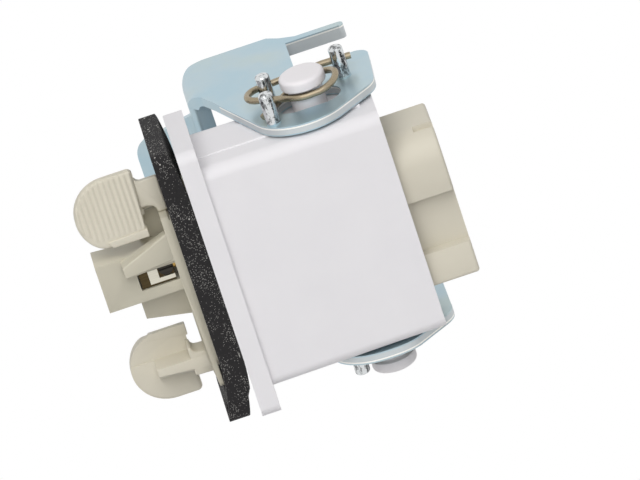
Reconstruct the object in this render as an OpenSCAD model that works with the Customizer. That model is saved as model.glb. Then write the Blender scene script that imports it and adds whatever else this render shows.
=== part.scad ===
// Rectangular power connector for a panel: a flanged housing with a pivoting locking lever
// and a latched contact insert.
// Frame: origin in the middle of the panel face, +X is the mating direction,
// +Z is along the lever's pivot axis, and the panel lies in the plane X = 0.

/* [Housing] */
// How far the flange stands out past the upper and lower ends of the shell
flange_rim_h = 3.65; // [3.2:0.05:6]
// How far the flange stands out past the front and back of the shell
flange_rim_d = 0.85; // [0.6:0.05:3]
// Thickness of the flange
flange_t = 2.8; // [2.4:0.1:4]
// Thickness of the foam gasket
gasket_t = 3.4; // [2.6:0.1:3.8]
// Height of the housing's shell at the flange
shell_h = 35.2; // [33:0.1:40]
// Depth of the housing's shell at the flange
shell_d = 15.3; // [14.9:0.1:16]
// Length of the shell from the flange to its rim
shell_l = 26; // [25.6:0.2:28]
// How much each side of the shell draws in towards the rim
shell_draft = 0.24; // [0.1:0.02:0.3]
// Radius of the shell's long edges
shell_r = 1.8; // [1:0.1:2.4]
// Diameter of the four fixing holes in the flange
fixing_hole = 2.7; // [2.2:0.1:3]

/* [Locking lever] */
// Distance from the flange's front face to the pivot axis
pivot_from_flange = 17.5; // [17.2:0.1:17.8]
// Distance of the pivot axis behind the middle of the housing
pivot_y = 0.8; // [0:0.1:1]
// Thickness of the lever's steel sheet
sheet = 1.4; // [1.2:0.1:1.6]
// Clearance between the housing's end rails and the lever's side plates
lever_play = 0.15; // [0.1:0.05:0.5]
// Radius of the plates' front lobe around the pivot
lobe_r = 7.5; // [7:0.1:7.8]
// Width of the slot that takes the peg of the mating hood
peg_slot = 10.6; // [9.6:0.2:11]
// Diameter of the spring wire
wire = 1; // [0.8:0.05:1]

/* [Pivot pins] */
// Diameter of a pin's neck, on which the lever turns
pin_neck = 5; // [4.8:0.1:5]
// Diameter of a pin's head
pin_head = 6.6; // [6:0.1:7.2]
// Thickness of a pin's head
pin_head_t = 1.7; // [1.4:0.1:2]

/* [Insert] */
// Height of the socket block along Z
block_h = 22.6; // [22.2:0.1:23]
// Depth of the socket block along Y
block_d = 11.6; // [11.2:0.1:11.6]
// How far the socket block stands out of the housing's rim
block_out = 6.9; // [5:0.1:9]
// Diameter of the contacts' barrels
barrel = 3.6; // [3.2:0.1:3.6]
// Bore of the contacts, for the mating pins
contact_bore = 2.5; // [1.6:0.1:2.5]
// Height of a release latch's thumb pad
pad_h = 10.6; // [9:0.2:11]
// Length of a thumb pad along X
pad_l = 9.1; // [8.6:0.1:9.6]
// Distance between the ribs of a thumb pad
rib_pitch = 0.86; // [0.8:0.01:0.9]

/* [Fits] */
// Running clearance on the radius of a moving part
run_gap = 0.05; // [0.03:0.01:0.1]
// Clearance on each side of a part that is only pushed into place
push_gap = 0.1; // [0.05:0.01:0.15]
// Clearance on the radius of a pin that is pressed in
press_gap = 0.02; // [0.01:0.01:0.04]

/* [Hidden] */
$fn = 48;
eps = 0.01;

// Places along X
flange_x = gasket_t;
shell_x = flange_x + flange_t;
rim_x = shell_x + shell_l;
pivot_x = shell_x + pivot_from_flange;
block_end = rim_x + block_out;

// Housing
flange_h = shell_h + 2 * flange_rim_h;
flange_d = shell_d + 2 * flange_rim_d;
wall_end = 1.6;
cavity_h = shell_h - 2 * wall_end;
cavity_d = block_d + 6 * push_gap;
cavity_r = 1;
rail_w = 7.2;
rail_rise = 0.15;
rail_z = shell_h / 2 + rail_rise;
rail_r = 0.2;
ledge_x = 16.2;
ledge_t = 1.6;
flange_r = 1.6;
fixing_z = shell_h / 2 + 1.6;
fixing_y = flange_d / 2 - 2.3;

// Side plates of the lever
plate_in = rail_z + lever_play;
plate_out = plate_in + sheet;

// Pivot pins
pin_stand = 4.4;
pin_top = plate_out + pin_stand;
pin_shank = 4;
pin_inner = cavity_h / 2 + 0.1;
pin_round = 0.6;

// Lever, measured from the pivot
lobe_right = 10.1;
lobe_rear = 11.4;
slot_end = -0.5;
plate_rear = 25.9;
plate_left = -14.8;
plate_side = [-13.4, 9.8];
plate_corner_r = 4.6;
bend_in = 0.8;
bend_out = bend_in + sheet;
strip_front = 14.8;
lip_l = 3;
tab_root = 20.4;
strip_x = plate_left - bend_out;
tab_tip = [-25.8, 26.8];
tab_root_h = 2 * plate_in - 6.8;
tab_h = tab_root_h - 7;
tab_r = 3.4;
hook_tip = 8.2;
hook_drop = 2.1;
hole_l = 9.4;
hole_w = pin_neck + 0.6;
lug_d = 2.1;
lug_h = 4.8;
low_lug_h = 3.6;
short_lug_d = 2.2;
short_lug_h = 2.4;
lug_r = 0.5;

// Springs, measured from the pivot and above the plate's outer face
wire_gap = run_gap;
wire_r = pin_neck / 2 + wire_gap + wire / 2;
wire_sides = 8;

// Insert
plate_x = -1.4;
plate_t = 1.1;
rear_end = 8;
rear_h = block_h + 0.2;
rear_d = block_d - 0.1;
back_plate_h = cavity_h - 0.6;
corner_r = 4.5;
groove = [-6.2, 2.1];
groove_depth = 1.8;
collar_x = ledge_x - 2.2;
collar_t = ledge_x - collar_x - push_gap;
collar_h = cavity_h - 4 * push_gap;
tail_x = -12.4;
seal_x = ledge_x + 0.2;
seal_w = 1.2;
seal_depth = 0.8;

// Earth terminal: chamber and clamp by two opposite corners, screw by X and Z
chamber = [[-7.1, -3.9, 1.4], [plate_x + eps, -1.2, 6.7]];
clamp = [[-6.9, -3.4, 1.5], [-1.9, -1.3, 6.6]];
screw_at = [-2.9, 3.8];
screw_d = 1.5;
screw_head_t = 0.4;
wire_way = 1.4;
window_top = 4.2;

// Contacts: place in Y and Z, in the order line 1, line 2, line 3, earth
contact_at = [[2.4, 8.4], [2.4, -1.6], [2.4, -7], [-2.35, 4.2]];
barrel_x = 19;
contact_end = block_end - 1.2;
crimp_d = 2.6;
crimp_bore = 1.7;
sleeve_t = 0.2;
clip_d = 3.8;
clip_l = 2.8;
sleeve_l = 9;

// Release latches
latch_x = 12;
trunnion_d = 1.7;
eye_d = 2 * trunnion_d;
arm_z = [block_h / 2 + 0.85, cavity_h / 2 - 0.75];
arm_y = [-1, 1.1];
pad_y = -4.4;
pad_t = 1.7;
pad_x = -12.95;
pad_z = cavity_h / 2 - 1.7;
low_pad_z = pad_z - 0.8;
low_pad_x = pad_x + 0.5;
pad_slant = 0.7;
rib_h = 0.22;
ribs = 10;
pad_r = 0.8;
pad_edge = 0.6;
pad_lip = 0.9;
pad_bevel = 1.1;
hook_x = [flange_x + 1.7, flange_x + 3];
hook_y = -cavity_d / 2 - 0.5;
hook_slant = 0.35;

// Shared shapes

// Extrudes a drawing made in (Y, Z) along X.
module along_x(from, to) {
    translate([from, 0, 0]) rotate([90, 0, 90]) linear_extrude(to - from) children();
}

// A rectangle centred on the origin with round corners.
module round_rect(w, h, r) {
    square([w - 2 * r, h], center = true);
    square([w, h - 2 * r], center = true);
    for (sx = [-1, 1], sy = [-1, 1])
        translate([sx * (w / 2 - r), sy * (h / 2 - r)]) circle(r);
}

// A round bar along X at a place in Y and Z.
module bar_x(from, to, d, at) {
    translate([from, at[0], at[1]]) rotate([0, 90, 0]) cylinder(h = to - from, d = d);
}

// A box given by its two opposite corners.
module box(low, high) {
    translate(low) cube(high - low);
}

// Housing

module shell_slab(x, draw) {
    along_x(x, x + eps)
        round_rect(shell_d - 2 * draw, shell_h - 2 * draw, shell_r, $fn = 32);
}

module housing() {
    color("whitesmoke") difference() {
        union() {
            along_x(flange_x, shell_x) round_rect(flange_d, flange_h, flange_r);
            hull() {
                shell_slab(shell_x - eps, 0);
                shell_slab(rim_x - eps, shell_draft);
            }
            along_x(shell_x - eps, rim_x - 2) translate([pivot_y, 0]) round_rect(rail_w, 2 * rail_z, rail_r);
        }
        difference() {
            along_x(flange_x - 1, rim_x + 1) round_rect(cavity_d, cavity_h, cavity_r);
            difference() {
                along_x(ledge_x, ledge_x + ledge_t) square([shell_d - 2, shell_h - 2], center = true);
                along_x(ledge_x - 1, ledge_x + ledge_t + 1)
                    square([cavity_d, block_h + 4 * push_gap], center = true);
            }
        }
        for (sy = [-1, 1], sz = [-1, 1])
            bar_x(flange_x - 1, shell_x + 1, fixing_hole, [sy * fixing_y, sz * fixing_z]);
        translate([pivot_x, pivot_y, -shell_h]) cylinder(h = 2 * shell_h, d = pin_shank + 2 * press_gap);
        latch_pocket();
        rotate([180, 0, 0]) latch_pocket();
    }
}

// Recess in the wall behind which a latch's hook catches.
module latch_pocket() {
    box([hook_x[0] - hook_slant, hook_y - 0.3, arm_z[0] - push_gap], [hook_x[1] + 0.3, 0, cavity_h / 2 - eps]);
}

module flange_gasket() {
    color("dimgray") along_x(0, gasket_t) difference() {
        round_rect(flange_d, flange_h, flange_r);
        round_rect(cavity_d + 0.8, cavity_h + 0.8, cavity_r);
        for (sy = [-1, 1], sz = [-1, 1])
            translate([sy * fixing_y, sz * fixing_z]) circle(d = fixing_hole);
    }
}

// Pivot pins

module pivot_pin() {
    translate([pivot_x, pivot_y, 0]) rotate_extrude() {
        translate([0, pin_inner]) square([pin_shank / 2, rail_z - pin_inner + eps]);
        translate([0, rail_z]) square([pin_neck / 2, pin_top - pin_head_t - rail_z + eps]);
        translate([0, pin_top - pin_head_t]) {
            square([pin_head / 2, pin_head_t - pin_round]);
            square([pin_head / 2 - pin_round, pin_head_t]);
            translate([pin_head / 2 - pin_round, pin_head_t - pin_round]) circle(pin_round);
        }
    }
}

module pivot_pin_upper() {
    color("white") pivot_pin();
}

module pivot_pin_lower() {
    color("white") mirror([0, 0, 1]) pivot_pin();
}

// Locking lever, drawn around the pivot

module plate_outline() {
    difference() {
        union() {
            // Front lobe, which runs back along both sides
            hull() {
                translate([-1, 0]) circle(lobe_r);
                translate([lobe_right - 4.6, 1.2]) circle(4.2);
                translate([lobe_right - 2, lobe_rear - 2]) circle(2);
                translate(plate_side) square([10, lobe_rear - plate_side[1]]);
            }
            polygon([[plate_left, strip_front - 2], plate_side, [slot_end + 0.1, lobe_rear - 1],
                [slot_end + 0.1, lobe_rear + peg_slot], [slot_end + 1.6, lobe_rear + peg_slot + sheet],
                [-1.2, plate_rear - 1.4], [-2.9, plate_rear], [plate_left, plate_rear]]);
        }
        // Slot for the hood's peg
        translate([slot_end, lobe_rear]) square([20, peg_slot]);
        // Hole around the pin, longer along X
        long_hole(hole_l, hole_w);
    }
}

// A slot with round ends, long side along X.
module long_hole(l, w) {
    square([l - w, w], center = true);
    for (s = [-1, 1]) translate([s * (l - w) / 2, 0]) circle(d = w);
}

// A lug stamped up out of the plate, with a round end.
module lug(at, d, h) {
    translate([at[0], at[1], plate_out - sheet / 2]) rotate_extrude() {
        square([d / 2, h + sheet / 2 - lug_r]);
        square([d / 2 - lug_r, h + sheet / 2]);
        translate([d / 2 - lug_r, h + sheet / 2 - lug_r]) circle(lug_r);
    }
}

module lever_side(lug_rise) {
    translate([0, 0, plate_in]) linear_extrude(sheet) plate_outline();
    // Hooked edge behind the peg slot
    translate([slot_end, lobe_rear + peg_slot, plate_out - hook_drop])
        linear_extrude(hook_drop) {
            square([hook_tip - slot_end - sheet / 2, sheet]);
            translate([hook_tip - slot_end - sheet / 2, sheet / 2]) circle(d = sheet);
        }
    lug([-5.3, 2.6], lug_d, lug_rise);
    lug([5.75, 4.1], lug_d, lug_rise);
    // Bend into the bridge
    translate([plate_left + eps, 0, plate_out - bend_out]) intersection() {
        rotate([-90, 0, 0]) translate([0, 0, strip_front - 2]) difference() {
            cylinder(h = plate_rear - strip_front + 2, r = bend_out);
            translate([0, 0, -1]) cylinder(h = plate_rear, r = bend_in);
        }
        linear_extrude(bend_out + 1) polygon([[0, strip_front - 2], [-bend_out, strip_front + 1],
            [-bend_out - 1, plate_rear + 1], [0, plate_rear + 1]]);
    }
}

// The lever's outline from above, with the round corner at the end of the bridge.
module lever_limit() {
    hull() {
        translate([plate_left - bend_out + plate_corner_r, plate_rear - plate_corner_r]) circle(plate_corner_r);
        translate([plate_left - bend_out, -20]) square([50, 10]);
        translate([20, -20]) square([10, 20 + plate_rear]);
    }
}

module lever_bridge() {
    strip_top = plate_out - bend_out + eps;
    translate([strip_x, 0, -strip_top]) linear_extrude(2 * strip_top) {
        translate([0, strip_front + sheet]) square([sheet, plate_rear - strip_front - sheet]);
        // Lip along the front edge
        translate([sheet, strip_front]) square([lip_l - sheet, sheet]);
        translate([sheet, strip_front + sheet]) circle(sheet);
    }
}

// Handle tab, flared towards the panel.
module lever_tab() {
    run = [tab_tip[0] - strip_x - sheet, tab_tip[1] - tab_root];
    tab_l = norm(run);
    translate([strip_x + sheet, tab_root, 0]) rotate([0, 0, atan2(run[1], run[0])])
        rotate([90, 0, 0]) translate([0, 0, -sheet / 2]) linear_extrude(sheet) {
            polygon([[0, -tab_root_h / 2], [tab_l - tab_r, -tab_h / 2], [tab_l - tab_r, tab_h / 2],
                [0, tab_root_h / 2]]);
            translate([tab_l - 2 * tab_r, 0]) round_rect(4 * tab_r, tab_h, tab_r);
        }
}

module locking_lever() {
    color("lightsteelblue") translate([pivot_x, pivot_y, 0]) {
        intersection() {
            union() {
                lever_side(lug_h);
                mirror([0, 0, 1]) lever_side(low_lug_h);
                lever_bridge();
            }
            translate([0, 0, -40]) linear_extrude(80) lever_limit();
        }
        lug([-5.7, -4], lug_d, lug_h);
        mirror([0, 0, 1]) lug([-4.8, -4], short_lug_d, short_lug_h);
        lever_tab();
    }
}

// Lever springs

// Points of an arc, falling from one height to another.
function arc_points(centre, r, from, to, high, low, steps) = [
    for (i = [0:steps])
        let (t = i / steps, a = from + (to - from) * t)
        [centre[0] + r * cos(a), centre[1] + r * sin(a), high + (low - high) * t]
];

// The wire's route: in along the rear, round the rear lug, along the front of the pin,
// round its right side, and out under itself towards the front lug.
left_r = 1.95;
function spring_route(h) = concat(
    [[7.6, 5.8, h[0]], [3.5, 5.8, h[1]]],
    arc_points([-6.2, 2.6], left_r, 90, 238, h[2], h[3], 10),
    arc_points([0, 0], wire_r, 238, 270, h[4], h[5], 3),
    arc_points([1.65, 0], wire_r, -88, 88, h[6], h[7], 12),
    arc_points([0, 0], wire_r, 90, 138, h[8], h[9], 4),
    [[-6.9, -2.2, h[10]]]);

// Heights along the two wires: the upper one passes over itself in front, the lower one behind.
high_front = [2, 2.1, 2.2, 1.85, 1.8, 1.75, 1.7, 1.3, 1.2, 0.9, 0.58];
low_front = [2, 2, 1.9, 0.6, 0.58, 0.57, 0.57, 1.2, 1.3, 1.65, 1.72];

// Sweeps a round wire along a list of points.
module wire_sweep(route, d) {
    n = len(route);
    function along(i) = let (v = route[min(i + 1, n - 1)] - route[max(i - 1, 0)]) v / norm(v);
    function across(i) = let (v = cross([0, 0, 1], along(i))) v / norm(v);
    points = [
        for (i = [0:n - 1], k = [0:wire_sides - 1])
            let (a = 360 * k / wire_sides, u = across(i), w = cross(along(i), u))
            route[i] + d / 2 * (cos(a) * u + sin(a) * w)
    ];
    sides = [
        for (i = [0:n - 2], k = [0:wire_sides - 1])
            let (next = (k + 1) % wire_sides)
            [i * wire_sides + k, (i + 1) * wire_sides + k,
                (i + 1) * wire_sides + next, i * wire_sides + next]
    ];
    start = [for (k = [0:wire_sides - 1]) k];
    finish = [for (k = [0:wire_sides - 1]) n * wire_sides - 1 - k];
    polyhedron(points, concat([start], sides, [finish]), convexity = 6);
}

module lever_spring(heights) {
    translate([pivot_x, pivot_y, plate_out]) wire_sweep(spring_route(heights), wire);
}

module lever_spring_upper() {
    color("darkgoldenrod") lever_spring(high_front);
}

module lever_spring_lower() {
    color("darkgoldenrod") mirror([0, 0, 1]) lever_spring(low_front);
}

// Insert

// The socket block seen along X, grown outwards by a distance.
module block_outline(grow = 0) {
    half_d = block_d / 2 + grow;
    half_h = block_h / 2 + grow;
    r = corner_r + grow;
    difference() {
        round_rect(2 * half_d, 2 * half_h, 0.5);
        translate([-half_d - 1, half_h - r]) square([r + 1, r + 1]);
    }
    translate([-half_d + r, half_h - r]) circle(r);
}

module socket_block() {
    color("wheat") difference() {
        union() {
            along_x(rear_end, block_end) block_outline();
            along_x(collar_x, collar_x + collar_t) round_rect(block_d, collar_h, cavity_r);
            for (s = [-1, 1]) translate([latch_x, s * (arm_y[0] + arm_y[1]) / 2, 0])
                rotate([s > 0 ? 0 : 180, 0, 0]) translate([0, 0, block_h / 2 - 1])
                    cylinder(h = arm_z[1] - block_h / 2 + 1, d = trunnion_d);
        }
        // Polarising groove along the front
        box([ledge_x + ledge_t, -block_d, groove[0]], [block_end + 1, -block_d / 2 + groove_depth, groove[1]]);
        // Coding notch in the top
        box([block_end - 2.9, -2.9, block_h / 2 - 0.8], [block_end + 1, -1.5, block_h]);
        // Groove for the seal
        along_x(seal_x, seal_x + seal_w) difference() {
            block_outline(1);
            block_outline(-seal_depth);
        }
        for (at = contact_at) {
            bar_x(barrel_x - push_gap, block_end - 1, barrel + 2 * push_gap + 2 * sleeve_t, at);
            bar_x(block_end - 2, block_end + 1, contact_bore + 0.5, at);
            bar_x(rear_end - 1, barrel_x, crimp_d + 2 * push_gap, at);
            bar_x(rear_end - 1, rear_end + clip_l, clip_d + 2 * press_gap, at);
        }
    }
}

module terminal_carrier() {
    color("wheat") difference() {
        union() {
            along_x(plate_x, plate_x + plate_t) round_rect(rear_d, back_plate_h, 0.8);
            along_x(plate_x + eps, rear_end) square([rear_d, rear_h], center = true);
            // Earth terminal housing at the front
            box([tail_x, -4.5, 0.1], [plate_x + eps, -0.5, 7.4]);
            // Gusset beside the window
            rotate([90, 0, 0]) translate([0, 0, 4.4]) linear_extrude(rear_d / 2 - 4.4)
                polygon([[-8.7, 4.7], [-8.7, 7], [plate_x + eps, 9.5], [plate_x + eps, 5.3]]);
            // Shrouds around the tails of two line contacts
            hull() {
                box([-7.8, 0.2, -4.6], [-7.7, 4.6, 1.6]);
                box([plate_x - 0.1, 0.2, -5.9], [plate_x + eps, 4.6, 1.6]);
            }
            box([-5.2, 0.2, 6], [plate_x + eps, 4.6, 11.4]);
        }
        // Ways for the latch arms
        for (turn = [0, 180]) rotate([turn, 0, 0])
            box([plate_x - 1, -block_d, arm_z[0] - 0.2], [rear_end + 1, arm_y[1] + 1.8, back_plate_h]);
        box([plate_x - 1, -block_d, arm_z[0] - 0.2], [plate_x + plate_t + eps, block_d, back_plate_h]);
        // Wire funnel, clamp chamber and side window of the earth terminal
        bar_x(tail_x - 1, plate_x, 3.2, contact_at[3]);
        box(chamber[0], chamber[1]);
        box([chamber[0].x, -block_d, chamber[0].z], [chamber[1].x, chamber[1].y, window_top]);
        // Contact tails
        for (at = contact_at) bar_x(plate_x - 8, rear_end + 1, crimp_d + 2 * push_gap, at);
    }
}

// A socket contact with a crimp barrel behind.
module socket_contact(at, tail) {
    difference() {
        union() {
            bar_x(barrel_x, contact_end, barrel, at);
            bar_x(tail, barrel_x + eps, crimp_d, at);
        }
        bar_x(contact_end - 11, contact_end + 1, contact_bore, at);
        bar_x(tail - 1, tail + 5, crimp_bore, at);
    }
}

module line_contact_1() {
    color("goldenrod") socket_contact(contact_at[0], -4.4);
}

module line_contact_2() {
    color("goldenrod") socket_contact(contact_at[1], -7);
}

module line_contact_3() {
    color("goldenrod") socket_contact(contact_at[2], -1.2);
}

module earth_contact() {
    color("goldenrod") socket_contact(contact_at[3], clamp[1].x + push_gap);
}

module contact_sleeves() {
    color("silver") for (at = contact_at) difference() {
        bar_x(contact_end - sleeve_l, contact_end - 0.5, barrel + 2 * sleeve_t, at);
        bar_x(contact_end - sleeve_l - 1, contact_end + 1, barrel + eps, at);
    }
}

module contact_clips() {
    color("silver") for (i = [0:2]) difference() {
        bar_x(rear_end + push_gap, rear_end + clip_l, clip_d, contact_at[i]);
        bar_x(rear_end - 1, rear_end + clip_l + 1, crimp_d + 2 * press_gap, contact_at[i]);
    }
}

// Earth terminal

module earth_clamp() {
    color("darkgoldenrod") difference() {
        box(clamp[0], clamp[1]);
        bar_x(clamp[0].x - 1, screw_at[0] - 1.3, wire_way, contact_at[3]);
        translate([screw_at[0], 0, screw_at[1]]) rotate([90, 0, 0])
            cylinder(h = 10, d = screw_d + 2 * press_gap);
    }
}

module earth_screw() {
    color("silver") translate([screw_at[0], clamp[0].y, screw_at[1]]) rotate([90, 0, 0]) difference() {
        union() {
            cylinder(h = screw_head_t, d = 2.2);
            translate([0, 0, -1.6]) cylinder(h = 1.7, d = screw_d);
        }
        translate([-2, -0.2, screw_head_t / 2]) cube([4, 0.4, 1]);
    }
}

// A plate under the screw's head, higher where it presses on the wire.
module pressure_plate() {
    color("silver") translate([clamp[0].x + 1.3, clamp[0].y - screw_head_t, clamp[0].z + 0.45]) {
        cube([screw_at[0] - clamp[0].x - 2.55, screw_head_t, 2.1]);
        cube([clamp[1].x - clamp[0].x - 1.3, screw_head_t, 0.6]);
    }
}

module insert_seal() {
    color("dimgray") along_x(seal_x + push_gap, seal_x + seal_w - push_gap) difference() {
        block_outline(0.15);
        block_outline(-seal_depth + press_gap);
    }
}

// Release latches

module release_latch(from, at, slant) {
    eye = [latch_x, (arm_y[0] + arm_y[1]) / 2];
    pad_end = from + pad_l;
    difference() {
        union() {
            // Strut on the back of the pad, then the arm with its eye
            box([from + 3.7, pad_y + pad_t - eps, arm_z[0]], [pad_end + 0.6, arm_y[1], arm_z[1]]);
            box([pad_end, arm_y[0], arm_z[0]], [eye[0], arm_y[1], arm_z[1]]);
            translate([eye[0], eye[1], arm_z[0]]) cylinder(h = arm_z[1] - arm_z[0], d = eye_d);
            // Hook behind the housing's wall
            translate([0, 0, arm_z[0]]) linear_extrude(arm_z[1] - arm_z[0])
                polygon([[hook_x[0], arm_y[0] + eps], [hook_x[0], -cavity_d / 2], [hook_x[0] + hook_slant, hook_y],
                    [hook_x[1], hook_y], [hook_x[1], arm_y[0] + eps]]);
            thumb_pad(from, at, slant);
        }
        translate([eye[0], eye[1], 0]) cylinder(h = 30, d = trunnion_d + 2 * run_gap);
    }
}

// A ribbed pad with bevelled edges and a lip behind its lower edge.
module thumb_pad(from, at, slant) {
    translate([from, pad_y + pad_t, at]) rotate([90, 0, 0]) {
        pad_body(0, slant);
        intersection() {
            pad_body(rib_h, slant);
            for (i = [0:ribs - 1]) translate([0.45 + i * rib_pitch, -pad_h, 0])
                cube([rib_pitch * 0.55, 2 * pad_h, 2 * pad_t]);
        }
        translate([0, 0, -0.2]) linear_extrude(0.2 + eps) intersection() {
            pad_outline(0.3, slant);
            translate([0, arm_z[0] - at]) square([pad_l + slant, pad_h]);
        }
        translate([pad_h * 0.4, -pad_h / 2, -pad_lip]) cube([pad_l - pad_h * 0.4 - pad_r, pad_lip, pad_lip + eps]);
    }
}

// The pad without its ribs, its face raised by a height.
module pad_body(rise, slant) {
    hull() {
        linear_extrude(pad_t - 0.9) pad_outline(0, slant);
        linear_extrude(pad_t + rise) intersection() {
            pad_outline(pad_edge, slant);
            translate([0, -pad_h / 2 + pad_bevel]) square([pad_l + slant, pad_h]);
        }
    }
}

// The pad seen from the front, drawn in by a distance, longer at its outer corner by a slant.
module pad_outline(inset, slant) {
    end = pad_l - inset;
    intersection() {
        hull() {
            translate([pad_h / 2, 0]) circle(pad_h / 2 - inset);
            translate([pad_l - pad_r, pad_r - pad_h / 2]) circle(pad_r - inset);
            translate([pad_l - pad_r + slant, pad_h / 2 - pad_r]) circle(pad_r - inset);
        }
        polygon([[0, -pad_h / 2], [end, -pad_h / 2], [end + slant, pad_h / 2], [0, pad_h / 2]]);
    }
}

module release_latch_upper() {
    color("wheat") release_latch(pad_x, pad_z, pad_slant);
}

module release_latch_lower() {
    color("wheat") rotate([180, 0, 0]) release_latch(low_pad_x, low_pad_z, 0);
}

housing();
flange_gasket();
locking_lever();
lever_spring_upper();
lever_spring_lower();
pivot_pin_upper();
pivot_pin_lower();
socket_block();
terminal_carrier();
release_latch_upper();
release_latch_lower();
line_contact_1();
line_contact_2();
line_contact_3();
earth_contact();
contact_sleeves();
earth_clamp();
earth_screw();
pressure_plate();
insert_seal();
contact_clips();
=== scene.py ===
"""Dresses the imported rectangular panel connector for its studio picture.

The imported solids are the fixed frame. Each sub-assembly below gives its solids softened
edges or a finer shape of their own, and a finish made from nodes.
"""

from __future__ import annotations

import logging
import math
from collections.abc import Callable
from dataclasses import dataclass
from enum import Enum

import bpy
from mathutils import Matrix, Vector


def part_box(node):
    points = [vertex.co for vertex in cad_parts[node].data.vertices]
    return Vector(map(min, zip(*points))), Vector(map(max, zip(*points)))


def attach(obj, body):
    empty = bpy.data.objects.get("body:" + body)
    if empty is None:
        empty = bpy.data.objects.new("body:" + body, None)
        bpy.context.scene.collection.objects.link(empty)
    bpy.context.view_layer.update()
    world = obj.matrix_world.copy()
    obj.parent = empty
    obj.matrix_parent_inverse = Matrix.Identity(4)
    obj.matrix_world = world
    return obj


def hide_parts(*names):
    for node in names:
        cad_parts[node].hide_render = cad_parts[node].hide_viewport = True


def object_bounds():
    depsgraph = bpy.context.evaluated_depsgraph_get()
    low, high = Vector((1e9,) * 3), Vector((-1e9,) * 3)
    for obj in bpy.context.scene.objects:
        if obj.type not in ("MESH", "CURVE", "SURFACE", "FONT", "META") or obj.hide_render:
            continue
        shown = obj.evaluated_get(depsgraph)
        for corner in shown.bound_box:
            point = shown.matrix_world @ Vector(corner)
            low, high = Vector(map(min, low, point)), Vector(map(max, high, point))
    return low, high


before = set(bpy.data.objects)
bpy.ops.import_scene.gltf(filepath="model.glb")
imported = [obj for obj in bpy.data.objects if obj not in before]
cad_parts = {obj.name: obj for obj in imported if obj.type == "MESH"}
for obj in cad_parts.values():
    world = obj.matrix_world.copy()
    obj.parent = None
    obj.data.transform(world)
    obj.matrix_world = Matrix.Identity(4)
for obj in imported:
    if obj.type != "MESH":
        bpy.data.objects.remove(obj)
cad_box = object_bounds()

log = logging.getLogger("connector")

Material = bpy.types.Material
Node = bpy.types.Node
Piece = bpy.types.Object
Socket = bpy.types.NodeSocket
Tree = bpy.types.NodeTree
Pair = tuple[float, float]
Triple = tuple[float, float, float]

MM = 0.001
WHITE_LIGHT = (1, 1, 1, 1)

# Vertices closer than this are one, and faces that meet more gently than this are one
WELD = 0.002 * MM
FLAT = math.radians(0.6)

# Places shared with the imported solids, in millimetres
PIVOT = Vector((23.7, 0.8, 0.0))
PLATE_OUT = 19.3


class Body(Enum):
    """The rigid bodies that pieces ride on."""

    BASE = "base"
    LEVER = "lever"
    UPPER_LATCH = "upper_latch"
    LOWER_LATCH = "lower_latch"


def linear(code: str) -> tuple[float, float, float, float]:
    """Turns an sRGB hex code into a linear colour.

    Args:
        code: six hex digits after a hash sign.

    Returns:
        Red, green, blue and alpha.
    """
    parts = [int(code[i : i + 2], 16) / 255 for i in (1, 3, 5)]
    red, green, blue = (
        c / 12.92 if c <= 0.04045 else ((c + 0.055) / 1.055) ** 2.4 for c in parts
    )
    return red, green, blue, 1.0


def per_mm(size: float) -> float:
    """The texture scale, in metres, at which one feature is this many millimetres wide."""
    return 1.0 / (size * MM)


def set_inputs(tree: Tree, node: Node, inputs: dict) -> None:
    """Gives a node's sockets their values and links.

    Args:
        tree: the node tree that holds the node.
        node: the node.
        inputs: socket name or number, and its value or the socket that feeds it.
    """
    for key, value in inputs.items():
        if isinstance(value, Socket):
            tree.links.new(value, node.inputs[key])
        else:
            node.inputs[key].default_value = value


def add_node(tree: Tree, kind: str, inputs: dict | None = None, **settings: object) -> Node:
    """Adds a node with its settings, values and links.

    Args:
        tree: the node tree that gets the node.
        kind: the node's type name, after ShaderNode.
        inputs: socket name or number, and its value or the socket that feeds it.
        **settings: the node's own properties.

    Returns:
        The new node.
    """
    node = tree.nodes.new("ShaderNode" + kind)
    for key, value in settings.items():
        setattr(node, key, value)
    set_inputs(tree, node, inputs or {})
    return node


def new_material(name: str) -> tuple[Material, Node, Socket]:
    """Makes an empty node material.

    Args:
        name: the material's name.

    Returns:
        The material, its shader and the object coordinates.
    """
    material = bpy.data.materials.new(name)
    material.use_nodes = True
    tree = material.node_tree
    shader = tree.nodes["Principled BSDF"]
    place = add_node(tree, "TexCoord").outputs["Object"]
    return material, shader, place


@dataclass(frozen=True)
class MouldedPlastic:
    """An injection-moulded plastic with a finely eroded mould surface.

    It looks satin: broad soft highlights, hardly any colour change, a faint grain.
    """

    name: str
    colour: str
    shade: str
    roughness: float = 0.45
    ior: float = 1.58
    gloss_spread: float = 0.06
    cloud_mm: float = 7.0
    grain_mm: float = 0.32
    grain_depth: float = 0.05

    def make(self) -> Material:
        """Builds the material.

        Returns:
            The material.
        """
        material, shader, place = new_material(self.name)
        tree = material.node_tree
        cloud = add_node(
            tree, "TexNoise", {"Vector": place, "Scale": per_mm(self.cloud_mm), "Detail": 3.0}
        )
        colour = add_node(
            tree,
            "Mix",
            {0: cloud.outputs[0], 6: linear(self.colour), 7: linear(self.shade)},
            data_type="RGBA",
        )
        # The mould's erosion is about 0.03 mm wide, drawn coarser so that it shows
        grain = add_node(
            tree, "TexNoise", {"Vector": place, "Scale": per_mm(self.grain_mm), "Detail": 2.0}
        )
        smooth, rough = self.roughness - self.gloss_spread, self.roughness + self.gloss_spread
        gloss = add_node(tree, "MapRange", {0: grain.outputs[0], 3: smooth, 4: rough})
        bump = add_node(
            tree,
            "Bump",
            {"Height": grain.outputs[0], "Strength": self.grain_depth, "Distance": 0.1 * MM},
        )
        surface = {
            "Base Color": colour.outputs[2],
            "Roughness": gloss.outputs[0],
            "Normal": bump.outputs[0],
            "IOR": self.ior,
        }
        set_inputs(tree, shader, surface)
        return material


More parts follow.
